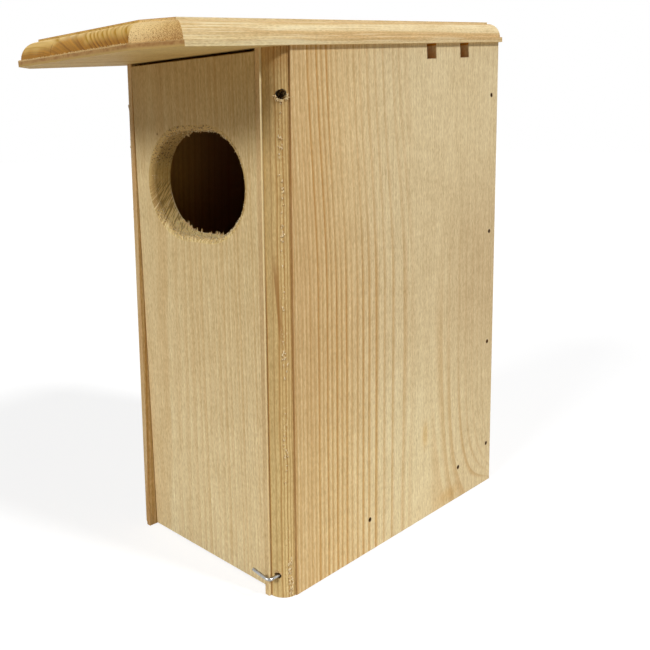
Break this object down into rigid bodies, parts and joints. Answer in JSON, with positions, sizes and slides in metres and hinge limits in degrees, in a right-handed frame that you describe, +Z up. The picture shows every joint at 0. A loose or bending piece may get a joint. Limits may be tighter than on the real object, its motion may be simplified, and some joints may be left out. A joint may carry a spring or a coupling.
{
  "type": "duck nest box",
  "caption": "Tall pine nest box with an oval entrance in its hung front door, a sloping roof board with rounded edges, vent notches under the roof and a wire hook latch.",
  "frame": {"origin": "middle of the outline in X and Y, on the ground under the side boards", "axes": "+Z up, +X to the latch side, the door faces -Y and the wall face is at +Y"},
  "size_m": [0.182, 0.3746, 0.4191],
  "materials": {
    "pine": "planed, unfinished",
    "zinc_wire": "bright zinc",
    "screw_steel": "dull",
    "nail_steel": "dull"
  },
  "bodies": {
    "box": {"roof": "pine", "right_side": "pine", "left_side": "pine", "back_panel": "pine", "floor_panel": "pine", "right_back_nail_top": "nail_steel", "right_back_nail_middle": "nail_steel", "right_back_nail_bottom": "nail_steel", "right_floor_nail_front": "nail_steel", "right_floor_nail_rear": "nail_steel", "roof_nail_right_front": "nail_steel", "roof_nail_right_middle": "nail_steel", "roof_nail_right_rear": "nail_steel", "back_floor_nail_right": "nail_steel", "roof_nail_back_right": "nail_steel", "left_back_nail_top": "nail_steel", "left_back_nail_middle": "nail_steel", "left_back_nail_bottom": "nail_steel", "left_floor_nail_front": "nail_steel", "left_floor_nail_rear": "nail_steel", "roof_nail_left_front": "nail_steel", "roof_nail_left_middle": "nail_steel", "roof_nail_left_rear": "nail_steel", "back_floor_nail_left": "nail_steel", "roof_nail_back_left": "nail_steel"},
    "door": {"front_door": "pine", "pivot_screw_right": "screw_steel", "pivot_screw_left": "screw_steel"},
    "hook": {"latch_hook": "zinc_wire"}
  },
  "joints": [
    {"name": "door_swing", "type": "hinge", "parent": "box", "child": "door", "pos_m": [0, -0.08128, 0.35279], "axis": [-1, 0, 0], "range_deg": [0, 98]},
    {"name": "latch_turn", "type": "hinge", "parent": "box", "child": "hook", "pos_m": [0.0793, -0.09027, 0.0166], "axis": [0, 1, 0], "range_deg": [0, 170]}
  ]
}
